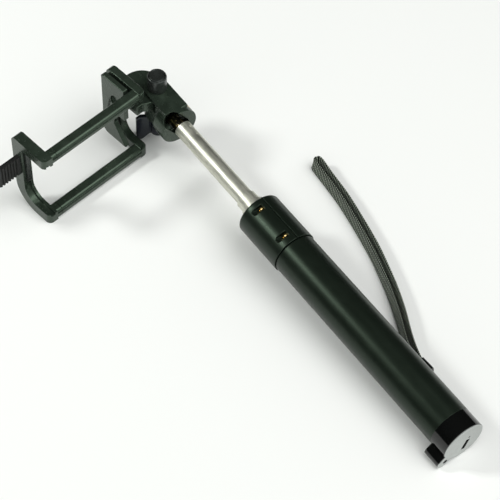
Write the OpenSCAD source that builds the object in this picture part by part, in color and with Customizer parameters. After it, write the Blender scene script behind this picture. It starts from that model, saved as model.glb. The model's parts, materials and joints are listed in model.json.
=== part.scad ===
// Telescopic selfie stick with a spring-loaded phone clamp, a charging socket
// in the butt cap and a wrist strap. Millimetres.
//
// The stick's own axis runs along +X from the tube end of the butt cap, with the
// clamp's pivot bolt along its +Z. The whole stick is then tipped head-up by
// rest_pitch, as it lies on a table, and its origin is the centre of the cap's end face.

/* [Handle] */
// Outside diameter of the handle tube
grip_d = 24; // [23.8:0.1:24.4]
// Length of the handle tube between the cap and the collar
grip_length = 124; // [122:0.5:126]
// Length of the butt cap behind the tube
cap_length = 10.5; // [9.5:0.5:11.5]
// Outside diameter of the clamp collar
collar_d = 25.2; // [25:0.1:25.6]
// Angle of the shutter button round the handle, from +Y towards +Z
button_angle = 205; // [200:1:210]
// Place of the shutter button along the handle
button_x = 98; // [80:1:104]

/* [Telescope] */
// Outside diameter of the thinnest, fully drawn section
inner_tube_d = 9.8; // [9.6:0.1:9.8]
// Wall thickness of every section
tube_wall = 0.4; // [0.35:0.05:0.4]
// Length of each sliding section
section_length = 122; // [118:1:122]
// How far the thinnest section reaches beyond the handle tube
reach = 100; // [96:1:100]

/* [Head] */
// Outside diameter of the round socket that the tube end folds in
barrel_d = 22; // [21.6:0.1:22.2]
// Angle of the fold slot round the stick, from +Y towards +Z
slot_angle = 56; // [50:1:60]
// How far the head folds back from straight
fold_limit = 60; // [45:5:60]
// Diameter of the round knob on the pivot bolt
knob_d = 10.6; // [10:0.1:11]

/* [Clamp] */
// Turn of the clamp from square across the stick
clamp_yaw = 8.16; // [0:0.5:10]
// Distance from the pivot bolt to the phone side of the fixed jaw
near_face = 22.6; // [22.4:0.1:23]
// Distance from the pivot bolt to the phone side of the sliding jaw
far_face = 78; // [76:0.5:80]
// Height of the fixed jaw's hook above the pivot bolt
hook_height = 21.6; // [20.6:0.2:22]

/* [Strap] */
// Width of the webbing
webbing_w = 8; // [7:0.5:8]
// Thickness of the webbing
webbing_t = 1.2; // [1:0.1:1.3]
// Diameter of the thin loop that ties the webbing to the cap
loop_d = 1.2; // [1:0.1:1.2]

/* [Hidden] */
$fn = 64;

eps = 0.01;
run_gap = 0.04;
grip_r = grip_d / 2;
grip_bore = grip_r - 1.2;
collar_r = collar_d / 2;
collar_front = grip_length + 32;
rest_pitch = 4.443;

// Telescope: section 1 is the thinnest and section 5 is fixed in the handle
section_step = 0.8;
lip_length = 3;
bush_length = 6;
section_front = [0, grip_length + reach, grip_length + 42.4, grip_length + 36.8, grip_length + 32];
function section_r(n) = inner_tube_d / 2 + section_step * (n - 1);
outer_back = 30;

// Head
fold_x = 230.5;
pivot_x = 248;
slot_half = 5.3;
barrel_shift = 0.8;
pivot_r = 2.5;
block_top = 10.6;
block_low = -10;
ear_low = 2.2;
ear_high = 9;
knob_top = 20.2;

// Clamp, in its own frame: X is the way the hooks stand up, Y runs from the pivot to the jaws
bar_low = -5.5;
bar_high = 1.3;
bar_z = [[16.5, 22.6], [-30.8, -24]];
elbow_r = 3;
frame_back = 12.6;
frame_front = 17.4;
plate_back = 19.6;
plate_low = 1.7;
plate_top = 19.6;
screw_z = [12.6, -14];
screw_v = 16.3;
arch_v = 11.5;
seam = 74.6;
far_back = 84;
far_top = 20.5;
rod_r = 2;
rod_x = (bar_low + bar_high) / 2;
spring_stop = 25.5;
spring_guide = 66;

// Strap, laid on the table: centre lines as points chosen by hand
table_z = -11.93;
webbing_route = [
  [52, -13.8], [60, -16.3], [70, -20.4], [82, -26.2], [95, -31.8], [108, -36.6], [122, -41.2],
  [141, -46.1], [159, -50], [175, -52.4], [185, -53.6], [189, -54.4], [189.6, -56.2], [187, -57.7],
  [175, -55.8], [159, -53.5], [141, -49.6], [122, -44.8], [108, -40.2], [95, -35.5], [82, -29.9],
  [70, -24], [60, -19.8], [52, -17.2]
];
cord_route = [
  [44, -14.7, -8.2], [40.6, -12.7, -9.6], [37, -9.2, -10.9], [32.6, -5, -11.3], [27.6, -1, -11.3],
  [22.4, 2.2, -11.3], [17.4, 4.8, -11.3], [13.2, 6.2, -11.3], [10.3, 7.3, -11.1], [8.8, 8.1, -10.5],
  [8.3, 8.8, -9.5], [8, 9.4, -8.5], [7.2, 10, -7.9], [6, 10.2, -7.6], [4.8, 10, -7.9],
  [4, 9.4, -8.7], [3.7, 8.8, -9.7], [3.7, 8, -10.7], [4.8, 6.7, -11.2], [8, 5.2, -11.3],
  [12, 4, -11.3], [17, 2.2, -11.3], [22, -1, -11.3], [27, -5.2, -11.3], [32, -9.6, -11.3],
  [36.4, -13.4, -11], [40, -15.7, -9.8], [44, -16.3, -8.2]
];

// ---- Helpers ----

// Puts a piece drawn in the stick's frame where it lies at rest
module placed() {
  rotate([0, -rest_pitch, 0]) translate([cap_length, 0, 0]) children();
}

// Puts a piece drawn in the clamp's frame where it lies at rest
module clamped() {
  placed() translate([pivot_x, 0, 0]) rotate([0, 0, clamp_yaw]) children();
}

// A round bar or bore along the stick
module rod_x(x0, x1, r) {
  translate([x0, 0, 0]) rotate([0, 90, 0]) cylinder(h = x1 - x0, r = r);
}

// A round bar or bore along the clamp
module rod_y(y0, y1, r) {
  translate([0, y1, 0]) rotate([90, 0, 0]) cylinder(h = y1 - y0, r = r);
}

// An upright round bar or bore
module rod_z(z0, z1, r) {
  translate([0, 0, z0]) cylinder(h = z1 - z0, r = r);
}

// Extrudes an outline drawn in Y and Z along the stick
module along_x(x0, x1) {
  translate([x0, 0, 0]) rotate([90, 0, 90]) linear_extrude(x1 - x0) children();
}

// Extrudes an outline drawn in X and Z along the clamp
module along_y(y0, y1) {
  translate([0, y1, 0]) rotate([90, 0, 0]) linear_extrude(y1 - y0) children();
}

// A box between two corners
module block(low, high) {
  translate(low) cube(high - low);
}

// Turns +Z to the direction at an angle round the stick, from +Y towards +Z
module at_angle(angle) {
  rotate([angle - 90, 0, 0]) children();
}

module ring_x(x0, x1, outer, inner) {
  difference() {
    rod_x(x0, x1, outer);
    rod_x(x0 - 1, x1 + 1, inner);
  }
}

// A bar outline with rounded corners between two corners
module rounded(low, high, r) {
  translate([low[0] + r, low[1]]) square([high[0] - low[0] - 2 * r, high[1] - low[1]]);
  translate([low[0], low[1] + r]) square([high[0] - low[0], high[1] - low[1] - 2 * r]);
  for (x = [low[0] + r, high[0] - r], y = [low[1] + r, high[1] - r])
    translate([x, y]) circle(r = r);
}

function arc(c, r, a0, a1, n = 12) =
  [for (i = [0:n]) let(a = a0 + (a1 - a0) * i / n) [c[0] + r * cos(a), c[1] + r * sin(a)]];

function unit(v) = v / norm(v);

// Points on a smooth curve through a list of points
function spline_point(p, i, t) =
  let(n = len(p), a = p[max(i - 1, 0)], b = p[i], c = p[min(i + 1, n - 1)], d = p[min(i + 2, n - 1)])
  0.5 * (2 * b + (c - a) * t + (2 * a - 5 * b + 4 * c - d) * t * t
         + (3 * b - a - 3 * c + d) * t * t * t);
function smooth(p, steps) = concat(
  [for (i = [0:len(p) - 2], k = [0:steps - 1]) spline_point(p, i, k / steps)],
  [p[len(p) - 1]]
);

// Sweeps an outline along a path: the outline's second axis stays near the direction up
module sweep(path, outline, up) {
  n = len(path);
  m = len(outline);
  points = [for (i = [0:n - 1])
    let(t = unit(path[min(i + 1, n - 1)] - path[max(i - 1, 0)]),
        side = unit(cross(t, up)),
        top = cross(side, t))
    for (q = outline) path[i] + side * q[0] + top * q[1]];
  walls = [for (i = [0:n - 2], j = [0:m - 1])
    let(a = i * m + j, b = i * m + (j + 1) % m)
    each [[a, a + m, b], [b, a + m, b + m]]];
  ends = [[for (j = [0:m - 1]) j], [for (j = [m - 1:-1:0]) (n - 1) * m + j]];
  polyhedron(points = points, faces = concat(walls, ends));
}

// ---- Handle ----

module button_outline(grow) {
  for (x = [-2.1, 2.1]) translate([x, 0]) circle(r = 2.4 + grow);
  square([4.2, 4.8 + 2 * grow], center = true);
}

module handle_tube() {
  color([0.1, 0.11, 0.11]) placed() difference() {
    rod_x(0, grip_length, grip_r);
    rod_x(-1, grip_length + 1, grip_bore);
    translate([button_x, 0, 0]) at_angle(button_angle)
      translate([0, 0, 8]) linear_extrude(8) button_outline(0.25);
  }
}

// The collar's two screw pockets and their bores, and the split that the screws pull closed
pocket_x = [grip_length + 6, collar_front - 5.6];
screw_height = 10.2;
split_angle = 97;

module collar() {
  color([0.1, 0.11, 0.11]) placed() difference() {
    union() {
      rod_x(grip_length - 8, grip_length + 0.6, grip_bore - 0.05);
      rod_x(grip_length + 0.5, collar_front - 1.6, collar_r);
      translate([collar_front - 1.6, 0, 0]) rotate([0, 90, 0]) rotate_extrude() {
        square([collar_r - 1.6, 1.6]);
        translate([collar_r - 1.6, 0]) intersection() {
          circle(r = 1.6);
          square(1.6);
        }
      }
    }
    rod_x(grip_length - 9, collar_front + 1, section_r(5) + 0.02);
    at_angle(split_angle) block([grip_length + 0.7, -0.15, 6], [collar_front + 1, 0.15, 14]);
    for (x = pocket_x) at_angle(split_angle) translate([x, 0, 0]) {
      block([-1.7, 2.8, 8.9], [1.7, 7.4, 14]);
      translate([0, 7.4, 8.9]) cylinder(h = 6, r = 1.7);
      translate([0, 0, screw_height]) rod_y(-6, 4, 0.85);
    }
  }
}

module clamp_screws() {
  color([0.8, 0.62, 0.3]) placed() for (x = pocket_x)
    at_angle(split_angle) translate([x, 0, screw_height]) difference() {
      union() {
        rod_y(-5.5, 3, 0.8);
        rod_y(2.85, 4.6, 1.2);
      }
      block([-0.2, 4.1, -1.1], [0.2, 5, 1.1]);
    }
}

// Butt cap: the socket and the board lie in a plane turned round the stick
socket_angle = -70;
socket_y = 2.65;
socket_z = -2.53;
led_y = -2.9;
led_z = -2.3;
lug_angle = -36;
lug_out = 14.4;
lug_r = 3.4;
lug_bore = [13.3, -0.6];

module turned() {
  rotate([socket_angle, 0, 0]) children();
}

module end_cap() {
  color([0.03, 0.03, 0.035]) placed() difference() {
    union() {
      rod_x(-cap_length + 0.5, 0, grip_r);
      translate([-cap_length, 0, 0]) rotate([0, 90, 0]) cylinder(h = 0.5, r1 = grip_r - 0.5, r2 = grip_r);
      rod_x(-0.1, 7, grip_bore - 0.05);
      rotate([lug_angle, 0, 0]) {
        block([-cap_length, 8, -lug_r], [-0.5, lug_out, lug_r]);
        translate([0, lug_out, 0]) rod_x(-cap_length, -0.5, lug_r);
      }
    }
    rod_x(-cap_length + 2.2, 8, 9.4);
    turned() block([-cap_length - 1, socket_y - 3.75, socket_z - 1.25],
                   [-cap_length + 3, socket_y + 3.75, socket_z + 1.25]);
    turned() translate([0, led_y, led_z]) rod_x(-cap_length - 1, -cap_length + 3, 0.65);
    rotate([lug_angle, 0, 0]) {
      translate([0, lug_bore[0], lug_bore[1]]) rod_x(-cap_length - 1, 1, 1.3);
      translate([-cap_length + 2.4, 0, lug_bore[1]]) rod_y(lug_bore[0], 20, 1);
      for (x = [-2.9, -7.4]) translate([x, 13, 0]) rod_z(-lug_r - 1, lug_bore[1], 0.9);
    }
  }
}

module usb_socket() {
  color([0.75, 0.75, 0.72]) placed() turned() difference() {
    block([-cap_length + 1.2, socket_y - 3.65, socket_z - 1.15], [-4.9, socket_y + 3.65, socket_z + 1.15]);
    block([-cap_length, socket_y - 3.35, socket_z - 0.85], [-5.3, socket_y + 3.35, socket_z + 0.85]);
  }
}

module usb_tongue() {
  color([0.1, 0.1, 0.1]) placed() turned()
    block([-cap_length + 1.6, socket_y - 2.4, socket_z - 0.05], [-5.35, socket_y + 2.4, socket_z + 0.45]);
}

module charge_led() {
  color([0.85, 0.2, 0.15]) placed() turned() translate([0, led_y, led_z])
    rod_x(-cap_length + 0.7, -4, 0.6);
}

module circuit_board() {
  color([0.05, 0.3, 0.15]) placed() turned() {
    block([-4.8, 0.2, -1.35], [24, 8.2, -0.45]);
    block([-3.9, -8.2, -1.35], [24, 0.3, -0.45]);
    block([8, -4, -3.4], [14, 3, -1.35]);
  }
}

module battery() {
  color([0.75, 0.76, 0.8]) placed() turned() along_x(2, 24) rounded([-6.4, -0.35], [6.4, 4.6], 1.2);
}

// The disc that carries the butt end of the fixed section inside the handle
module tube_seat() {
  color([0.12, 0.12, 0.12]) placed() difference() {
    rod_x(25, 36, grip_bore - 0.05);
    rod_x(outer_back, 37, section_r(5) + 0.02);
    translate([0, 0, -6]) rod_x(24, 31, 1.5);
  }
}

module switch_board() {
  color([0.05, 0.3, 0.15]) placed() translate([button_x, 0, 0]) at_angle(button_angle)
    block([-9, -3, 8.2], [9, 3, 8.8]);
}

module dome_switch() {
  color([0.8, 0.8, 0.78]) placed() translate([button_x, 0, 0]) at_angle(button_angle)
    translate([0, 0, 8.8]) cylinder(h = 0.5, r1 = 2, r2 = 1.2);
}

// The shutter button: a flange keeps it in, and its face lies just below the handle's surface
module shutter_button() {
  color([0.2, 0.2, 0.21]) placed() translate([button_x, 0, 0]) at_angle(button_angle) {
    translate([0, 0, 9.72]) linear_extrude(0.42) button_outline(0.6);
    translate([0, 0, 9.8]) linear_extrude(1.8) button_outline(0);
  }
}

// ---- Telescope ----

// A tube whose front lip guides the next thinner section
module section_tube(back, front, n) {
  difference() {
    rod_x(back, front, section_r(n));
    rod_x(back - 1, front - lip_length, section_r(n) - tube_wall);
    rod_x(back - 1, front + 1, n > 1 ? section_r(n - 1) + run_gap : section_r(n) - tube_wall);
  }
}

module sliding_section(n) {
  color([0.78, 0.77, 0.7]) placed() section_tube(section_front[n] - section_length, section_front[n], n);
}

// The ring on a section's butt end that slides in the bore of the next wider one
module slip_bush(n) {
  back = section_front[n] - section_length;
  color([0.9, 0.9, 0.88]) placed() ring_x(back, back + bush_length,
    section_r(n + 1) - tube_wall - run_gap, section_r(n) + eps);
}

module outer_tube() {
  color([0.78, 0.77, 0.7]) placed() section_tube(outer_back, collar_front + 0.2, 5);
}

module tube_4() {
  sliding_section(4);
}

module tube_3() {
  sliding_section(3);
}

module tube_2() {
  sliding_section(2);
}

// The thinnest section has two small crimp dimples that hold the end plug
module tube_1() {
  color([0.78, 0.77, 0.7]) placed() difference() {
    section_tube(section_front[1] - section_length, section_front[1], 1);
    for (x = [4.2, 10.2]) translate([section_front[1] - x, 0, 0]) at_angle(115)
      translate([0, 0, 4.65]) cylinder(h = 2, r = 0.55);
  }
}

module slip_bush_4() {
  slip_bush(4);
}

module slip_bush_3() {
  slip_bush(3);
}

module slip_bush_2() {
  slip_bush(2);
}

module slip_bush_1() {
  slip_bush(1);
}

// The fold axis is this frame's Y, and the slot opens along its Z
module fold_frame() {
  placed() translate([fold_x, 0, 0]) at_angle(slot_angle) children();
}

module tube_end_plug() {
  plug_r = section_r(1) - tube_wall - 0.02;
  color([0.2, 0.18, 0.12]) fold_frame() difference() {
    union() {
      rod_x(section_front[1] - 18 - fold_x, section_front[1] - fold_x, plug_r);
      intersection() {
        rod_x(section_front[1] - 1 - fold_x, 0, plug_r);
        block([-10, -3.2, -5], [0, 3.2, 5]);
      }
      rod_y(-3.2, 3.2, 4);
    }
    rod_y(-4, 4, 1.55);
  }
}

module fold_washers() {
  color([0.12, 0.12, 0.12]) fold_frame() for (side = [-1, 1]) difference() {
    translate([0, side * 3.73, 0]) rod_y(-0.5, 0.5, 2.5);
    rod_y(-6, 6, 1.55);
  }
}

module fold_pin() {
  color([0.8, 0.62, 0.3]) fold_frame() rod_y(-10.2, 10.2, 1.5);
}

// ---- Head ----

// The space that the tube sweeps as the head folds back from straight to fold_limit
module fold_slot() {
  swept = 20;
  end = 180 - fold_limit;
  half = slot_half - 0.1;
  rod_y(-4.6, 4.6, 4.9);
  for (a = [180, end]) rotate([0, -a, 0]) rod_x(0, swept, slot_half);
  along_y(-half, half)
    polygon([[0, 0], swept * [cos(end), sin(end)], [-swept, swept], [-swept, 0]]);
}

// The two bosses inside the slot that the washers bear on
module fold_bosses() {
  for (y = [-6.4, 4.3]) rod_y(y, y + 2.1, 2.5);
}

module head_block() {
  color([0.2, 0.22, 0.21]) difference() {
    union() {
      difference() {
        placed() difference() {
          union() {
            translate([0, barrel_shift, 0]) rod_x(226, 235, barrel_d / 2);
            block([229, -6.6, block_low], [pivot_x, 7.4, block_top]);
            translate([pivot_x, 0.4, 0]) rod_z(block_low, block_top, 7);
          }
          block([239.4, -12, ear_low - 0.2], [pivot_x + 10, 12, ear_high + 0.2]);
          translate([pivot_x, 0, 0]) rod_z(block_low - 1, block_top + 1, pivot_r + 0.02);
        }
        fold_frame() fold_slot();
      }
      fold_frame() fold_bosses();
    }
    fold_frame() rod_y(-13, 13, 1.52);
  }
}

module pivot_bolt() {
  color([0.7, 0.7, 0.7]) placed() translate([pivot_x, 0, 0]) rod_z(-26, knob_top - 1.6, pivot_r);
}

module pivot_knob() {
  knob_r = knob_d / 2;
  color([0.13, 0.14, 0.14]) placed() translate([pivot_x, 0, 0]) difference() {
    union() {
      rod_z(block_top + 0.1, knob_top - 0.6, knob_r);
      translate([0, 0, knob_top - 0.6]) cylinder(h = 0.6, r1 = knob_r, r2 = knob_r - 0.6);
    }
    rod_z(block_top, knob_top - 1.5, pivot_r + 0.02);
    difference() {
      rod_z(knob_top - 0.3, knob_top + 1, knob_r - 0.8);
      rod_z(knob_top - 0.4, knob_top + 1, knob_r - 1.2);
    }
  }
}

module pivot_washer() {
  color([0.7, 0.7, 0.7]) placed() translate([pivot_x, 0, 0]) difference() {
    rod_z(block_low - 1, block_low - 0.1, 5.2);
    rod_z(block_low - 2, block_low + 1, pivot_r + 0.05);
  }
}

wing_low = -31.6;
wing_out = 12.2;
wing_turn = 63;

module wing_nut() {
  outline = [[0, -25], [0, -13], [10.2, -12.2], [12.2, -14.2], [12.2, -29.6], [10.4, -31.6],
             [8.6, -31.2], [4.4, -27]];
  color([0.06, 0.06, 0.09]) placed() translate([pivot_x, 0, 0]) difference() {
    union() {
      rod_z(-26, block_low - 1.3, 4.6);
      for (turn = [0, 180]) rotate([0, 0, wing_turn + turn])
        along_y(-1.2, 1.2) polygon(outline);
    }
    rod_z(-27, block_low, pivot_r + 0.06);
  }
}

// ---- Clamp: the jaw that stays with the pivot ----

// The outline of a jaw hook: legs that follow the two bars, joined by a top bar
module hook_outline(top, low_z, high_z, high_r, low_r) {
  polygon(concat(
    [[bar_low, low_z]],
    arc([top - low_r, low_z + low_r], low_r, -90, 0),
    arc([top - high_r, high_z - high_r], high_r, 0, 90),
    [[bar_low, high_z]]
  ));
}

// A jaw's arch from its bar side, corner_y, to its other side: the elbows are rounded at corner_y
module hook(corner_y, other_y, top, opening, high_r, low_r, opening_r) {
  side = sign(other_y - corner_y);
  intersection() {
    along_y(min(corner_y, other_y), max(corner_y, other_y)) difference() {
      hook_outline(top, bar_z[1][0], bar_z[0][1], high_r, low_r);
      translate([-1, 0]) hook_outline(opening + 1, bar_z[1][1], bar_z[0][0], 3, opening_r);
    }
    translate([0, 0, bar_z[1][0] - 1]) linear_extrude(60) polygon(concat(
      arc([bar_low + elbow_r, corner_y + side * elbow_r], elbow_r, 180, 180 + side * 90),
      [[30, corner_y], [30, other_y + side], [bar_low, other_y + side]]
    ));
  }
}

module near_jaw_frame() {
  color([0.2, 0.22, 0.21]) clamped() difference() {
    union() {
      hook(frame_back, frame_front, hook_height, arch_v, 4, 14, 8);
      intersection() {
        union() {
          translate([6.8, 5, ear_low]) cylinder(h = ear_high - ear_low, r = 12);
          block([-2.4, 5, ear_low], [18.8, frame_back + 0.1, ear_high]);
        }
        block([-6, -8, ear_low], [20, frame_back + 0.1, ear_high]);
      }
      block([-2.4, frame_back, ear_low], [arch_v + 1, frame_front - 0.6, ear_high]);
    }
    rod_z(0, 12, pivot_r + 0.05);
    for (z = screw_z) translate([screw_v, 0, z]) {
      rod_y(frame_back - 1, frame_front + 1, 0.85);
      rod_y(frame_back - 1, frame_back + 2.3, 1.8);
    }
    for (z = bar_z) translate([rod_x, 0, (z[0] + z[1]) / 2]) rod_y(frame_front - 1.6, 18, rod_r + 0.6);
  }
}

// The plate that the phone's edge rests on: a rim and two bosses hold it off the frame, its back
// edge is cut away under the upper bar, and it has a round recess
module near_jaw_plate() {
  color([0.24, 0.27, 0.25]) clamped() difference() {
    union() {
      along_y(plate_back, near_face) polygon(concat(
        [[plate_low, 23.5], [plate_low, -1], [9.5, -1], [10.5, -10.5], [2.5, -22.8], [plate_low, -24]],
        arc([plate_top - 4, -20], 4, -90, 0, 6),
        arc([plate_top - 2, 21.5], 2, 0, 90, 6)
      ));
      block([plate_top - 1.7, frame_front, -10], [plate_top - 0.1, plate_back + 0.1, 20]);
      for (z = screw_z) translate([screw_v, 0, z]) rod_y(frame_front, plate_back + 0.1, 2.2);
    }
    for (z = screw_z) translate([screw_v, 0, z]) rod_y(frame_front - 1, plate_back + 1.4, 0.85);
    translate([8, 0, 9]) rod_y(near_face - 1.6, near_face + 1, 4.4);
  }
}

module jaw_screws() {
  color([0.7, 0.7, 0.7]) clamped() for (z = screw_z) translate([screw_v, 0, z]) {
    rod_y(frame_back + 1, plate_back + 1, 0.8);
    rod_y(frame_back + 0.7, frame_back + 2.3, 1.7);
  }
}

// A hollow bar that guides a rod of the sliding jaw, with a step along its side
module bar_section(z) {
  difference() {
    rounded([bar_low, z[0]], [bar_high, z[1]], 2);
    translate([bar_low - 1, z[1] - 2.7]) square([1.5, 1.2]);
  }
}

module guide_bar(z) {
  middle = [rod_x, 0, (z[0] + z[1]) / 2];
  difference() {
    along_y(frame_front, seam) bar_section(z);
    translate(middle) rod_y(frame_front - 1, spring_guide, rod_r + 0.6);
    translate(middle) rod_y(frame_front - 1, seam + 1, rod_r + run_gap);
  }
}

module upper_arm() {
  color([0.2, 0.22, 0.21]) clamped() guide_bar(bar_z[0]);
}

module lower_arm() {
  color([0.2, 0.22, 0.21]) clamped() guide_bar(bar_z[1]);
}

// ---- Clamp: the jaw that slides out ----

module far_jaw_frame() {
  color([0.2, 0.22, 0.21]) clamped() difference() {
    union() {
      hook(far_back, far_face, far_top, 13.5, 3.5, 15, 9);
      for (z = bar_z) along_y(seam + 0.2, far_face + 0.1) bar_section(z);
    }
    along_y(far_face + 1.6, far_back - 1.7) translate([-1, 0])
      hook_outline(16.3, bar_z[1][1] - 1.4, bar_z[0][0] + 1.4, 4.4, 11.4);
    for (z = bar_z) translate([rod_x, 0, (z[0] + z[1]) / 2]) rod_y(seam, far_face + 1, rod_r + 0.01);
  }
}

module guide_rod(z) {
  translate([rod_x, 0, (z[0] + z[1]) / 2]) rod_y(spring_stop - 1.4, far_face + 0.98, rod_r);
}

module upper_rod() {
  color([0.75, 0.75, 0.75]) clamped() guide_rod(bar_z[0]);
}

module lower_rod() {
  color([0.75, 0.75, 0.75]) clamped() guide_rod(bar_z[1]);
}

// The collars on the rods' inner ends that the springs push on
module rod_stops() {
  color([0.6, 0.6, 0.6]) clamped() for (z = bar_z) translate([rod_x, 0, (z[0] + z[1]) / 2]) difference() {
    rod_y(spring_stop - 1.3, spring_stop, rod_r + 0.52);
    rod_y(spring_stop - 2, spring_stop + 1, rod_r + eps);
  }
}

// A clip in the sliding jaw's channel that holds the finger tab
tab_z = 2.5;
tab_v = 14.8;
tab_half = 7;

module tab_clip() {
  color([0.16, 0.17, 0.17]) clamped() along_y(far_face + 1.8, far_back - 1.9)
    rounded([tab_v - 2.7, tab_z - 14.5], [tab_v + 0.3, tab_z + 11.9], 1.4);
}

module pull_tab() {
  color([0.05, 0.05, 0.05]) clamped() difference() {
    translate([tab_v, 0, 0]) tab_plate();
    for (i = [0:5]) block([tab_v - 0.8, far_back + 2.4 + 1.9 * i, tab_z - 12],
                          [tab_v + 0.6, far_back + 3.4 + 1.9 * i, tab_z + 12]);
  }
}

// The tab's plate: square at the jaw, with round corners at its free end
module tab_plate() {
  rotate([90, 0, 90]) linear_extrude(2.6) {
    translate([far_back + 0.05, tab_z - tab_half]) square([11, 2 * tab_half]);
    translate([far_back + 1, 0]) rounded([0, tab_z - tab_half], [15, tab_z + tab_half], 3.5);
  }
}

// A compression spring round a guide rod, between its stop and the bar's guide bore
module rod_spring(z) {
  turns = 13;
  steps = 12;
  wire_r = 0.22;
  coil_r = rod_r + 0.31;
  y0 = spring_stop + wire_r + 0.05;
  y1 = spring_guide - wire_r - 0.05;
  path = [for (i = [0:turns * steps]) let(a = 360 * i / steps)
    [coil_r * cos(a), y0 + (y1 - y0) * i / (turns * steps), coil_r * sin(a)]];
  wire = [for (j = [0:5]) [wire_r * cos(60 * j), wire_r * sin(60 * j)]];
  translate([rod_x, 0, (z[0] + z[1]) / 2]) sweep(path, wire, [0, 1, 0]);
}

module upper_spring() {
  color([0.5, 0.5, 0.5]) clamped() rod_spring(bar_z[0]);
}

module lower_spring() {
  color([0.5, 0.5, 0.5]) clamped() rod_spring(bar_z[1]);
}

// ---- Wrist strap ----

module strap_webbing() {
  w = webbing_w / 2;
  t = webbing_t / 2;
  path = [for (p = smooth(webbing_route, 1)) [p[0], p[1], table_z + w + 0.05]];
  outline = [[t, 0.8 - w], [t, w - 0.8], [t / 2, w], [-t / 2, w], [-t, w - 0.8], [-t, 0.8 - w],
             [-t / 2, -w], [t / 2, -w]];
  color([0.13, 0.14, 0.13]) sweep(path, outline, [0, 0, 1]);
}

// The crimped sleeve that joins the webbing's two ends to the thin loop
module strap_clip() {
  color([0.05, 0.05, 0.05]) translate([0, -15.5, table_z + webbing_w / 2 + 0.1])
    along_x(44, 52) rounded([-3, -webbing_w / 2 - 0.05], [3, webbing_w / 2 + 0.05], 1);
}

module strap_cord() {
  r = loop_d / 2;
  outline = [for (j = [0:7]) [r * cos(45 * j), r * sin(45 * j)]];
  color([0.05, 0.05, 0.05]) sweep(smooth(cord_route, 2), outline, [0.05, 0.1, 1]);
}

handle_tube();
collar();
clamp_screws();
end_cap();
usb_socket();
usb_tongue();
charge_led();
circuit_board();
battery();
tube_seat();
outer_tube();
switch_board();
dome_switch();
shutter_button();
tube_4();
slip_bush_4();
tube_3();
slip_bush_3();
tube_2();
slip_bush_2();
tube_1();
slip_bush_1();
tube_end_plug();
fold_washers();
head_block();
fold_pin();
pivot_bolt();
pivot_knob();
pivot_washer();
wing_nut();
near_jaw_frame();
near_jaw_plate();
jaw_screws();
upper_arm();
lower_arm();
far_jaw_frame();
upper_rod();
lower_rod();
rod_stops();
tab_clip();
pull_tab();
upper_spring();
lower_spring();
strap_webbing();
strap_clip();
strap_cord();
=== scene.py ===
"""The looks of a telescopic selfie stick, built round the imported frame. Metres, in the frame's axes."""
import json
import math

import bpy  # noqa: E402
from mathutils import Matrix, Vector  # noqa: E402


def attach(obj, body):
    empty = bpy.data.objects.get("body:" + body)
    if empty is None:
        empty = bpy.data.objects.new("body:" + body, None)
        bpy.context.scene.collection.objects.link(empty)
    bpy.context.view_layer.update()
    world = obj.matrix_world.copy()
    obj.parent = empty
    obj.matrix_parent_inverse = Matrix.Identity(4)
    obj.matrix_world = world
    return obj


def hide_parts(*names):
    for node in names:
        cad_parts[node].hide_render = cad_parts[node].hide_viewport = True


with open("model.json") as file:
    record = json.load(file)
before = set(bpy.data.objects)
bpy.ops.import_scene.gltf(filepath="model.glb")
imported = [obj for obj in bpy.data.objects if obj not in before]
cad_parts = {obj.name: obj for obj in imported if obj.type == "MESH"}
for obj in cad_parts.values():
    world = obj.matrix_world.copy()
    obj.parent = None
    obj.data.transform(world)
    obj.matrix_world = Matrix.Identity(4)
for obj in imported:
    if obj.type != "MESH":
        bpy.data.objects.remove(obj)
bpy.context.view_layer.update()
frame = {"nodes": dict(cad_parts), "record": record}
NODES = frame["nodes"]
MM = 0.001
GREEN_GLINT = (0.74, 1.0, 0.76, 1)  # the black parts' highlights are slightly green
NEUTRAL_GLINT = (0.9, 1, 0.95, 1)

# ---- Frame: the stick's axis is pitched up from +X, and the clamp is turned about its pivot ----

PITCH = math.radians(4.443)
AXIS = Vector((math.cos(PITCH), 0, math.sin(PITCH)))
TABLE_Z = -11.93  # where the part rests, in millimetres
FLOOR = -11.98 * MM  # a little lower, so that nothing is half buried
CLAMP_YAW = 8.16


# ---- Camera ----

AZIMUTH, ELEVATION, ROLL = 235.04, 51.65, -1.65
LOOK_AT = Vector((156.0, 12.68, 0.81)) * MM
DISTANCE = 0.94176
SENSOR_WIDTH, FOCAL_LENGTH = 36, 130.33


def make_camera():
    azimuth, elevation, roll = (math.radians(a) for a in (AZIMUTH, ELEVATION, ROLL))
    back = Vector((math.sin(azimuth) * math.cos(elevation),
                   -math.cos(azimuth) * math.cos(elevation), math.sin(elevation)))
    right = (-back).cross(Vector((0, 0, 1))).normalized()
    up = right.cross(-back)
    right, up = (right * math.cos(roll) + up * math.sin(roll),
                 up * math.cos(roll) - right * math.sin(roll))
    data = bpy.data.cameras.new("camera")
    data.sensor_width = SENSOR_WIDTH
    data.lens = FOCAL_LENGTH
    data.clip_start, data.clip_end = 0.05, 20
    camera = bpy.data.objects.new("camera", data)
    camera.matrix_world = Matrix.Translation(LOOK_AT + back * DISTANCE) @ Matrix(
        (right, up, back)).transposed().to_4x4()
    bpy.context.scene.collection.objects.link(camera)
    bpy.context.scene.camera = camera
    bpy.context.scene.view_settings.view_transform = "Standard"


make_camera()


# ---- Mesh helpers ----

def new_piece(name, verts, faces, uvs=None):
    """A smooth-shaded mesh object. uvs gives one pair for each corner of each face."""
    mesh = bpy.data.meshes.new(name)
    mesh.from_pydata(verts, [], faces)
    mesh.polygons.foreach_set("use_smooth", [True] * len(faces))
    if uvs:
        layer = mesh.uv_layers.new(name="weave")
        for loop, uv in zip(layer.data, (uv for face in uvs for uv in face)):
            loop.uv = uv
    mesh.update()
    piece = bpy.data.objects.new(name, mesh)
    bpy.context.scene.collection.objects.link(piece)
    return piece


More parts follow.
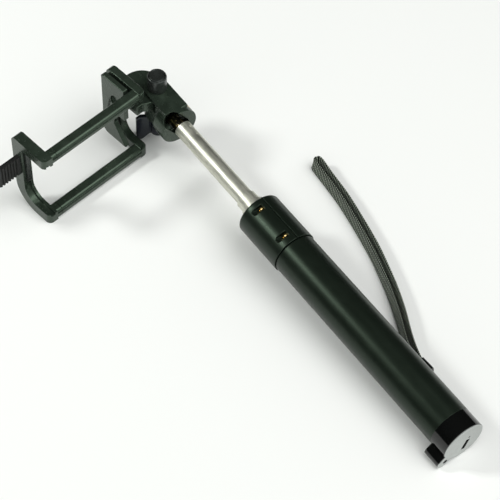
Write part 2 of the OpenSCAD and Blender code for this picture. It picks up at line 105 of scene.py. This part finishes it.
SPLINE_STEPS = 40


def spline(points, spacing):
    """Points about spacing apart on a smooth curve through the given points, and its length."""
    fine = []
    last = len(points) - 1
    for i in range(last):
        a, b = points[max(i - 1, 0)], points[i]
        c, d = points[i + 1], points[min(i + 2, last)]
        for k in range(SPLINE_STEPS):
            t = k / SPLINE_STEPS
            fine.append(0.5 * (2 * b + (c - a) * t + (2 * a - 5 * b + 4 * c - d) * t * t
                               + (3 * b - a - 3 * c + d) * t ** 3))
    fine.append(points[last])
    walked = [0.0]
    for p, q in zip(fine, fine[1:]):
        walked.append(walked[-1] + (q - p).length)
    count = max(2, round(walked[-1] / spacing))
    out, j = [], 0
    for k in range(count + 1):
        goal = walked[-1] * k / count
        while j < len(fine) - 2 and walked[j + 1] < goal:
            j += 1
        part = (goal - walked[j]) / max(walked[j + 1] - walked[j], 1e-9)
        out.append(fine[j].lerp(fine[j + 1], min(part, 1)))
    return out, walked[-1]


def sweep(name, path, outline, up):
    """A closed tube along a path. outline(i) gives ring i's (side, top) points and up(i) says which
    way its top faces. UVs are in metres."""
    verts, faces, uvs = [], [], []
    walked, last = 0.0, len(path) - 1
    along = []
    for i, p in enumerate(path):
        if i:
            walked += (p - path[i - 1]).length
        along.append(walked)
        t = (path[min(i + 1, last)] - path[max(i - 1, 0)]).normalized()
        side = t.cross(up(i)).normalized()
        top = side.cross(t)
        ring = outline(i)
        verts += [p + side * a + top * b for a, b in ring]
    m = len(ring)
    around = [0.0]
    for k in range(m):
        a, b = Vector(ring[k]), Vector(ring[(k + 1) % m])
        around.append(around[-1] + (b - a).length)
    for i in range(last):
        for j in range(m):
            k = (j + 1) % m
            faces.append((i * m + j, i * m + k, (i + 1) * m + k, (i + 1) * m + j))
            uvs.append([(along[i], around[j]), (along[i], around[j + 1]),
                        (along[i + 1], around[j + 1]), (along[i + 1], around[j])])
    for start, flip in ((0, True), (last * m, False)):
        ring_face = [start + j for j in range(m)]
        faces.append(tuple(reversed(ring_face)) if flip else tuple(ring_face))
        uvs.append([(0, 0)] * m)
    return new_piece(name, verts, faces, uvs)


# ---- Cords: the strap's webbing and the thin loop that ties it to the cap ----

WEBBING_WIDTH, WEBBING_THICK = 8.0, 1.2
WEBBING_ROUTE = [
    (52, -13.8), (60, -16.3), (70, -20.4), (82, -26.2), (95, -31.8), (108, -36.6), (122, -41.2),
    (141, -46.1), (159, -50), (175, -52.4), (185, -53.6), (189, -54.4), (189.6, -56.2), (187, -57.7),
    (175, -55.8), (159, -53.5), (141, -49.6), (122, -44.8), (108, -40.2), (95, -35.5), (82, -29.9),
    (70, -24), (60, -19.8), (52, -17.2),
]
LOOP_WIDE = 1.2  # the loop's diameter, in millimetres as above
LOOP_ROUTE = [
    (44, -14.7, -8.2), (40.6, -12.7, -9.6), (37, -9.2, -10.9), (32.6, -5, -11.3), (27.6, -1, -11.3),
    (22.4, 2.2, -11.3), (17.4, 4.8, -11.3), (13.2, 6.2, -11.3), (10.3, 7.3, -11.1), (8.8, 8.1, -10.5),
    (8.3, 8.8, -9.5), (8, 9.4, -8.5), (7.2, 10, -7.9), (6, 10.2, -7.6), (4.8, 10, -7.9),
    (4, 9.4, -8.7), (3.7, 8.8, -9.7), (3.7, 8, -10.7), (4.8, 6.7, -11.2), (8, 5.2, -11.3),
    (12, 4, -11.3), (17, 2.2, -11.3), (22, -1, -11.3), (27, -5.2, -11.3), (32, -9.6, -11.3),
    (36.4, -13.4, -11), (40, -15.7, -9.8), (44, -16.3, -8.2),
]
RIB = 1.45 * MM  # from one cross rib of the webbing to the next
RINGS_PER_RIB = 4
RIB_RELIEF, SCALLOP, ROLLED_EDGE = 0.055 * MM, 0.07 * MM, 0.1 * MM
LEAN = 0.26  # how far the webbing's top is out of upright, for each unit of height
LEAN_RUN = 30 * MM  # the length over which it starts to lean


def make_webbing():
    """The wrist strap: one length of webbing, folded in two, with both ends in the sleeve."""
    half, thick = WEBBING_WIDTH / 2 * MM, WEBBING_THICK / 2 * MM
    height = TABLE_Z * MM + half + 0.05 * MM
    points = [Vector((x * MM, y * MM, height)) for x, y in WEBBING_ROUTE]
    path, length = spline(points, RIB / RINGS_PER_RIB)
    columns = 10

    def ring(i):
        # Cross ribs stand out of both faces. The edges are rolled over and scalloped
        rib = RIB_RELIEF * math.cos(2 * math.pi * i / RINGS_PER_RIB)
        edge = SCALLOP * math.cos(math.pi * i / RINGS_PER_RIB)
        out = []
        for sign in (1, -1):
            for k in range(columns + 1):
                across = -1 + 2 * k / columns
                rolled = ROLLED_EDGE * math.exp(-((abs(across) - 0.86) / 0.09) ** 2)
                shape = thick * (1 - abs(across) ** 9 * 0.62)
                out.append((sign * (shape - 0.12 * MM + rib * (1 - abs(across) ** 6) + rolled),
                            sign * across * (half - 0.1 * MM + edge * abs(across) ** 8)))
        return out

    def lean(i):
        # Upright in the sleeve at both ends, and leaning away from the handle in between
        free = min(min(i, len(path) - 1 - i) * RIB / RINGS_PER_RIB / LEAN_RUN, 1)
        return Vector((0, -LEAN * free * free * (3 - 2 * free), 1))

    piece = sweep("webbing", path, ring, lean)
    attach(piece, "handle")
    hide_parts("strap_webbing")
    return piece


def make_loop():
    """The thin cord from the sleeve, through the cap's lug, and back."""
    points = [Vector(p) * MM for p in LOOP_ROUTE]
    path, length = spline(points, 0.35 * MM)
    sides = 10
    radius = LOOP_WIDE / 2 * MM

    def ring(i):
        # A fine braid: two sets of strands wind round the core in opposite ways
        out = []
        for j in range(sides):
            turn = 2 * math.pi * j / sides
            wave = math.cos(3 * turn + i * 0.9) * math.cos(3 * turn - i * 0.9)
            r = radius * (0.96 + 0.05 * wave)
            out.append((r * math.cos(turn), r * math.sin(turn)))
        return out

    piece = sweep("thin_loop", path, ring, lambda i: Vector((0.05, 0.1, 1)))
    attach(piece, "handle")
    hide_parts("strap_cord")
    return piece


webbing = make_webbing()
thin_loop = make_loop()


# ---- Materials: each works in metres on the piece's own coordinates ----

class Shader:
    """A material being built round its Principled shader."""

    def __init__(self, name, color, rough, metallic=0.0, specular=0.5):
        self.material = bpy.data.materials.new(name)
        self.material.use_nodes = True
        self.tree = self.material.node_tree
        self.bsdf = self.tree.nodes["Principled BSDF"]
        self.set("Base Color", (*color, 1))
        self.set("Roughness", rough)
        self.set("Metallic", metallic)
        self.set("Specular IOR Level", specular)
        self.place = self.node("ShaderNodeTexCoord").outputs["Object"]
        self.normal = None

    def set(self, socket, value):
        self.bsdf.inputs[socket].default_value = value

    def node(self, kind, inputs=None, **settings):
        node = self.tree.nodes.new(kind)
        for name, value in settings.items():
            setattr(node, name, value)
        for key, value in (inputs or {}).items():
            if isinstance(value, bpy.types.NodeSocket):
                self.tree.links.new(value, node.inputs[key])
            else:
                node.inputs[key].default_value = value
        return node

    def link(self, output, socket):
        self.tree.links.new(output, self.bsdf.inputs[socket])

    def stretched(self, scale, turned=False):
        """The piece's coordinates, scaled along the stick (or the clamp) and across it."""
        turn = (0, -PITCH, math.radians(CLAMP_YAW) if turned else 0)
        return self.node("ShaderNodeMapping", {"Vector": self.place, "Rotation": turn,
                                               "Scale": scale}).outputs[0]

    def noise(self, size, detail=2.0, where=None):
        """Noise with features about size metres across, from 0 to 1."""
        return self.node("ShaderNodeTexNoise", {"Vector": where or self.place, "Scale": 1 / size,
                                                "Detail": detail, "Roughness": 0.55}).outputs["Fac"]

    def remap(self, value, low, high, to_low, to_high):
        return self.node("ShaderNodeMapRange", {"Value": value, "From Min": low, "From Max": high,
                                                "To Min": to_low, "To Max": to_high}).outputs[0]

    def math(self, operation, a, b=0.0):
        return self.node("ShaderNodeMath", {0: a, 1: b}, operation=operation).outputs[0]

    def mix(self, factor, a, b):
        """A colour between a and b, which are colours or sockets."""
        node = self.node("ShaderNodeMix", {"Factor": factor}, data_type="RGBA")
        for value, socket in ((a, node.inputs[6]), (b, node.inputs[7])):
            if isinstance(value, bpy.types.NodeSocket):
                self.tree.links.new(value, socket)
            else:
                socket.default_value = (*value, 1)
        return node.outputs[2]

    def color(self, factor, a, b):
        mixed = self.mix(factor, a, b)
        self.link(mixed, "Base Color")
        return mixed

    def rough(self, factor, low, high):
        self.link(self.remap(factor, 0.3, 0.7, low, high), "Roughness")

    def bump(self, height, depth, strength=1.0):
        """Raises the surface by up to depth metres. Calls add up."""
        inputs = {"Height": height, "Distance": depth, "Strength": strength}
        if self.normal:
            inputs["Normal"] = self.normal
        self.normal = self.node("ShaderNodeBump", inputs).outputs["Normal"]
        self.link(self.normal, "Normal")

    def sharp_edge_mask(self):
        """Near 1 on sharp outer edges, broken up by noise."""
        point = self.node("ShaderNodeNewGeometry").outputs["Pointiness"]
        edge = self.remap(point, 0.52, 0.62, 0, 1)
        return self.math("MULTIPLY", edge, self.remap(self.noise(1.5 * MM, 4), 0.35, 0.65, 0.25, 1))


def paint(name):
    """Satin rubberised paint with a fine orange peel and faint rubbing along the handle."""
    s = Shader(name, (0.006, 0.006, 0.006), 0.33, specular=0.38)
    rub = s.noise(1.6 * MM, 3, s.stretched((0.06, 1, 1)))
    s.color(s.noise(14 * MM, 3), (0.0022, 0.0038, 0.0024), (0.0042, 0.0064, 0.0044))
    s.set("Specular Tint", GREEN_GLINT)
    wear = s.math("ADD", s.math("MULTIPLY", rub, 0.5), s.math("MULTIPLY", s.noise(6 * MM), 0.5))
    s.rough(wear, 0.30, 0.37)
    s.bump(s.noise(0.32 * MM, 2), 0.006 * MM)
    s.bump(s.noise(0.09 * MM, 1), 0.002 * MM)
    return s.material


def moulding(name, dark, light, rough, grain=0.22, depth=0.006, edge=None, specular=0.5, turned=True):
    """A spark-eroded moulding: even grain, soft mottling and edges slightly lighter in colour, partly as
    polished wear and partly as a painted highlight on the rims.
    """
    s = Shader(name, light, rough, specular=specular)
    s.set("Specular Tint", GREEN_GLINT if turned else NEUTRAL_GLINT)
    tint = s.mix(s.remap(s.noise(5 * MM, 4), 0.3, 0.7, 0, 1), dark, light)
    # Edges lighter in colour: partly rubbed wear, partly a painted highlight along the rims
    if edge:
        tint = s.mix(s.sharp_edge_mask(), tint, edge)
    s.link(tint, "Base Color")
    s.rough(s.noise(2.2 * MM, 4), rough * 0.82, rough * 1.15)
    s.bump(s.noise(grain * MM, 2), depth * MM)
    s.bump(s.noise(2.4 * MM, 2, s.stretched((1, 0.1, 1), turned)), 0.004 * MM)
    return s.material


def cap_gloss(name):
    """Glossy black, with a mirror-like plated end face and fine hairline scratches."""
    s = Shader(name, (0.006, 0.006, 0.007), 0.08)
    along = s.node("ShaderNodeVectorMath", {0: s.place, 1: AXIS},
                   operation="DOT_PRODUCT").outputs["Value"]
    face = s.remap(along, 0.15 * MM, 0.4 * MM, 1, 0)
    hair = s.noise(0.5 * MM, 5, s.stretched((1, 0.08, 1)))
    mottle = s.noise(3 * MM, 3)
    s.color(face, s.mix(mottle, (0.0014, 0.0016, 0.0015), (0.0026, 0.0030, 0.0028)),
            s.mix(mottle, (0.38, 0.40, 0.39), (0.48, 0.50, 0.49)))
    s.link(face, "Metallic")
    scratched = s.remap(hair, 0.35, 0.7, 0.05, 0.12)
    s.link(s.math("ADD", scratched, s.math("MULTIPLY", face, 0.12)), "Roughness")
    s.bump(hair, 0.0015 * MM)
    s.bump(s.noise(1.8 * MM, 2), 0.004 * MM)
    return s.material


def rubber(name, color, ribbed=False):
    """Soft matt rubber with a powdery bloom."""
    s = Shader(name, color, 0.6, specular=0.35)
    s.color(s.noise(1.1 * MM, 5), tuple(c * 0.7 for c in color), tuple(c * 1.5 for c in color))
    s.rough(s.noise(0.7 * MM, 3), 0.42 if ribbed else 0.55, 0.62 if ribbed else 0.78)
    s.bump(s.noise(0.18 * MM, 3), 0.012 * MM)
    s.set("Sheen Weight", 0.02 if ribbed else 0.12)
    s.set("Sheen Roughness", 0.5)
    return s.material


def drawn_metal(name, dark, light, rough, lines=(0.02, 1, 1), turned=False, depth=0.002):
    """Drawn or turned metal: fine lines along or round the piece, and slight stains."""
    s = Shader(name, light, rough, metallic=1.0)
    line = s.noise(0.16 * MM, 3, s.stretched(lines, turned))
    stain = s.noise(7 * MM, 5)
    band = s.remap(s.noise(1.1 * MM, 1, s.stretched(lines, turned)), 0.35, 0.65, 0, 1)
    marks = s.math("ADD", s.math("MULTIPLY", stain, 0.3), s.math("MULTIPLY", band, 0.5))
    s.color(s.math("ADD", s.math("MULTIPLY", line, 0.2), marks), dark, light)
    wear = s.math("ADD", s.math("MULTIPLY", line, 0.6), s.math("MULTIPLY", stain, 0.4))
    s.rough(wear, rough * 0.7, rough * 1.35)
    s.bump(line, depth * MM)
    return s.material


def plated(name):
    """Zinc plating: bright with faint crystalline mottling."""
    s = Shader(name, (0.66, 0.67, 0.68), 0.24, metallic=1.0)
    cells = s.node("ShaderNodeTexVoronoi", {"Vector": s.place,
                                            "Scale": 1 / (0.8 * MM)}).outputs["Distance"]
    s.color(cells, (0.52, 0.53, 0.55), (0.72, 0.72, 0.70))
    s.rough(s.noise(0.9 * MM, 4), 0.18, 0.34)
    s.bump(cells, 0.002 * MM)
    return s.material


def blackened(name):
    """Blackened brass that shows bright where it is rubbed."""
    s = Shader(name, (0.08, 0.065, 0.04), 0.3, metallic=1.0)
    worn = s.math("ADD", s.sharp_edge_mask(), s.remap(s.noise(1.4 * MM, 4), 0.6, 0.72, 0, 0.8))
    s.color(worn, (0.045, 0.040, 0.028), (0.78, 0.58, 0.25))
    s.rough(s.noise(0.6 * MM, 3), 0.2, 0.42)
    s.bump(s.noise(0.12 * MM, 2, s.stretched((0.05, 1, 1))), 0.003 * MM)
    return s.material


def solder_mask(name):
    """A green board: traces under the mask, and pads."""
    s = Shader(name, (0.02, 0.16, 0.07), 0.3)
    cells = s.node("ShaderNodeTexBrick", {"Vector": s.place, "Scale": 260.0, "Mortar Size": 0.04,
                                          "Color1": (0, 0, 0, 1), "Color2": (0.2, 0.2, 0.2, 1),
                                          "Mortar": (1, 1, 1, 1)}).outputs["Color"]
    s.color(cells, (0.012, 0.12, 0.05), (0.05, 0.28, 0.10))
    s.rough(s.noise(1 * MM, 2), 0.22, 0.36)
    s.bump(cells, 0.02 * MM)
    return s.material


def foil(name):
    """A pouch cell's crinkled foil."""
    s = Shader(name, (0.68, 0.69, 0.71), 0.3, metallic=1.0)
    crinkle = s.noise(2.4 * MM, 5)
    s.color(crinkle, (0.60, 0.61, 0.64), (0.76, 0.77, 0.78))
    s.rough(crinkle, 0.22, 0.4)
    s.bump(crinkle, 0.12 * MM)
    return s.material


def light_pipe(name):
    """A clear red light pipe, slightly cloudy."""
    s = Shader(name, (0.10, 0.02, 0.015), 0.15)
    s.color(s.noise(0.5 * MM, 3), (0.07, 0.012, 0.010), (0.14, 0.028, 0.02))
    s.rough(s.noise(0.4 * MM, 2), 0.08, 0.22)
    s.set("Transmission Weight", 0.35)
    s.bump(s.noise(0.2 * MM, 2), 0.003 * MM)
    return s.material


def woven(name, pitch, columns, depth, dark, light):
    """Black yarn in raised cross ribs, one every pitch metres, each laid in so many bundles a metre. The
    rib tops are painted light as a painted highlight, and the gaps between ribs and bundles are painted
    dark as painted shade.
    """
    s = Shader(name, light, 0.6, specular=0.2)
    uv = s.node("ShaderNodeUVMap", uv_map="weave").outputs[0]
    parts = s.node("ShaderNodeSeparateXYZ", {"Vector": uv}).outputs
    skew = s.math("ADD", parts[0], s.math("MULTIPLY", parts[1], 0.12))
    wander = s.math("MULTIPLY", s.noise(2.5 * MM, 2, uv), 0.5 * pitch)
    rib = s.math("COSINE", s.math("MULTIPLY", s.math("ADD", skew, wander), 2 * math.pi / pitch))
    bundle = s.math("COSINE", s.math("MULTIPLY", parts[1], 2 * math.pi * columns))
    drawn = s.node("ShaderNodeMapping", {"Vector": uv, "Scale": (3.0, 0.6, 1)}).outputs[0]
    fibre = s.noise(0.15 * MM, 2, drawn)
    # Rib height for the bump; the same mask paints the rib tops light (painted highlight) and the gaps
    # dark (painted shade)
    rib_height_and_painted_light = s.math("MULTIPLY", s.remap(rib, 0, 0.8, 0, 1), s.remap(bundle, -1, 0.2, 0.35, 1))
    s.color(s.math("MULTIPLY", rib_height_and_painted_light, s.remap(fibre, 0.3, 0.7, 0.6, 1.1)), dark, light)
    s.rough(fibre, 0.5, 0.75)
    s.bump(rib_height_and_painted_light, depth * MM)
    s.bump(fibre, 0.03 * MM)
    s.set("Sheen Weight", 0.06)
    s.set("Sheen Roughness", 0.4)
    s.set("Sheen Tint", (0.8, 0.88, 0.8, 1))
    return s.material


MATERIALS = {
    "handle_black": paint,
    "cap_black": cap_gloss,
    # The edge colours below make the rims lighter: partly rubbed wear, partly a painted highlight
    "clamp_plastic": lambda n: moulding(n, (0.013, 0.019, 0.0136), (0.023, 0.032, 0.0236), 0.25,
                                        edge=(0.026, 0.034, 0.026)),
    "dark_plastic": lambda n: moulding(n, (0.010, 0.011, 0.010), (0.018, 0.020, 0.019), 0.3,
                                       edge=(0.024, 0.027, 0.024), turned=False),
    "wing_plastic": lambda n: moulding(n, (0.006, 0.007, 0.013), (0.012, 0.013, 0.022), 0.2,
                                       grain=0.5, depth=0.003, edge=(0.014, 0.016, 0.024), turned=False),
    "button_rubber": lambda n: rubber(n, (0.028, 0.028, 0.030)),
    "tab_rubber": lambda n: rubber(n, (0.004, 0.0045, 0.004), ribbed=True),
    "tube_steel": lambda n: drawn_metal(n, (0.52, 0.53, 0.45), (0.78, 0.77, 0.68), 0.44),
    "rod_steel": lambda n: drawn_metal(n, (0.48, 0.48, 0.47), (0.66, 0.66, 0.64), 0.22,
                                       (1, 0.02, 1), True),
    "spring_steel": lambda n: drawn_metal(n, (0.30, 0.30, 0.31), (0.46, 0.46, 0.46), 0.28, (1, 1, 1)),
    "screw_steel": plated,
    "brass": lambda n: drawn_metal(n, (0.60, 0.42, 0.16), (0.84, 0.64, 0.30), 0.2, (1, 0.1, 0.1)),
    "plug_metal": blackened,
    "bush_plastic": lambda n: moulding(n, (0.62, 0.62, 0.58), (0.74, 0.74, 0.71), 0.4, turned=False),
    "board_green": solder_mask,
    "cell_foil": foil,
    "led_red": light_pipe,
    # The webbing's light colour is a painted highlight on the black yarn's ribs, and its dark colour is
    # painted shade in the gaps
    "strap_fabric": lambda n: woven(n, RIB, 1 / (1.6 * MM), 0.12, (0.0006, 0.0008, 0.0006),
                                    (0.36, 0.41, 0.33)),
    "strap_plastic": lambda n: moulding(n, (0.006, 0.006, 0.006), (0.012, 0.012, 0.012), 0.18,
                                        turned=False),
}


def make_materials():
    """One material for each of the record's slots, and a finer braid for the thin loop."""
    made = {}
    for sub in frame["record"]["subparts"]:
        slot = sub["material_slot"]
        if slot not in made:
            made[slot] = MATERIALS[slot](slot)
        mesh = NODES[sub["node"]].data
        mesh.materials.clear()
        mesh.materials.append(made[slot])
        mesh.polygons.foreach_set("material_index", [0] * len(mesh.polygons))
    webbing.data.materials.append(made["strap_fabric"])
    # The braid's light colour is a painted highlight on its ribs, and the dark colour is painted shade
    # between them
    cord = woven("strap_braid", 0.9 * MM, 1 / (0.9 * MM), 0.05, (0.004, 0.0045, 0.004),
                 (0.035, 0.038, 0.034))
    thin_loop.data.materials.append(cord)


make_materials()


# ---- Rounded edges: every moulded or machined edge is broken, by this many millimetres ----

EDGES = {
    "handle_tube": 0.15, "collar": 0.25, "end_cap": 0.15, "clamp_screws": 0.08, "usb_socket": 0.08,
    "shutter_button": 0.25, "outer_tube": 0.05, "tube_1": 0.06, "tube_2": 0.05, "tube_3": 0.05,
    "head_block": 0.25, "fold_pin": 0.15, "pivot_knob": 0.35, "pivot_washer": 0.1, "wing_nut": 0.7,
    "near_jaw_frame": 0.5, "near_jaw_plate": 0.45, "jaw_screws": 0.15, "upper_arm": 0.12,
    "lower_arm": 0.12, "far_jaw_frame": 0.5, "tab_clip": 0.4, "pull_tab": 0.35, "strap_clip": 0.35,
    "tube_end_plug": 0.2, "fold_washers": 0.15,
}

WELD_GAP = 0.002 * MM
SHARP = math.radians(32)
# Nodes with slender facets, where a full bevel would run past its neighbours
CLAMPED_EDGES = ("end_cap", "far_jaw_frame", "tab_clip", "pull_tab", "strap_clip")


def soften_edges():
    """Bevels the sharp edges, with the facets of each curved face joined up first."""
    for name, width in EDGES.items():
        node = NODES[name]
        weld = node.modifiers.new("weld", "WELD")
        weld.merge_threshold = WELD_GAP
        bevel = node.modifiers.new("rounded", "BEVEL")
        bevel.width = width * MM
        bevel.segments = 3
        bevel.limit_method = "ANGLE"
        bevel.angle_limit = SHARP
        bevel.use_clamp_overlap = name in CLAMPED_EDGES
        normal = node.modifiers.new("even", "WEIGHTED_NORMAL")
        normal.mode = "FACE_AREA"
        normal.weight = 60


soften_edges()


# ---- Stage ----

FLOOR_HALF = 6.0
ROOM_BEHIND, ROOM_AHEAD = 0.8, 0.03


def make_stage():
    mesh = bpy.data.meshes.new("floor")
    s = FLOOR_HALF
    corners = [(-s, -s, FLOOR), (s, -s, FLOOR), (s, s, FLOOR), (-s, s, FLOOR)]
    mesh.from_pydata(corners, [], [(0, 1, 2, 3)])
    floor = bpy.data.objects.new("floor", mesh)
    bpy.context.scene.collection.objects.link(floor)
    m = bpy.data.materials.new("floor")
    m.use_nodes = True
    b = m.node_tree.nodes["Principled BSDF"]
    b.inputs["Base Color"].default_value = (0.865, 0.87, 0.86, 1)
    b.inputs["Roughness"].default_value = 0.7
    b.inputs["Specular IOR Level"].default_value = 0.1
    mesh.materials.append(m)
    world = bpy.data.worlds.new("world")
    world.use_nodes = True
    tree = world.node_tree
    tree.nodes["Background"].inputs[0].default_value = (0.97, 1.0, 0.97, 1)
    # The room is bright behind the butt of the stick and dark beyond its head
    parts = tree.nodes.new("ShaderNodeSeparateXYZ")
    place = tree.nodes.new("ShaderNodeTexCoord").outputs["Generated"]
    tree.links.new(place, parts.inputs[0])
    fade = tree.nodes.new("ShaderNodeMapRange")
    fade.interpolation_type = "SMOOTHSTEP"
    for key, value in {"From Min": -0.25, "From Max": 0.3,
                       "To Min": ROOM_BEHIND, "To Max": ROOM_AHEAD}.items():
        fade.inputs[key].default_value = value
    tree.links.new(parts.outputs["X"], fade.inputs["Value"])
    tree.links.new(fade.outputs[0], tree.nodes["Background"].inputs[1])
    bpy.context.scene.world = world


make_stage()


STICK_MIDDLE = Vector((0.15, 0, 0))
KEY_DISTANCE = 1.3


def area_light(name, at, size, power, color):
    """A soft light, turned towards the middle of the stick."""
    data = bpy.data.lights.new(name, "AREA")
    data.shape = "RECTANGLE"
    data.size, data.size_y = size
    data.energy = power
    data.color = color
    light = bpy.data.objects.new(name, data)
    light.location = at
    light.rotation_mode = "QUATERNION"
    light.rotation_quaternion = (STICK_MIDDLE - Vector(at)).to_track_quat("-Z", "Y")
    bpy.context.scene.collection.objects.link(light)


area_light("overhead", (-0.6, -0.35, 1.5), (1.4, 1.4), 18.5, (1.0, 1.0, 0.99))
area_light("key", STICK_MIDDLE + Vector((0.508, 0.53, 0.678)) * KEY_DISTANCE, (0.24, 0.24), 6.5,
           (0.98, 1.0, 0.97))
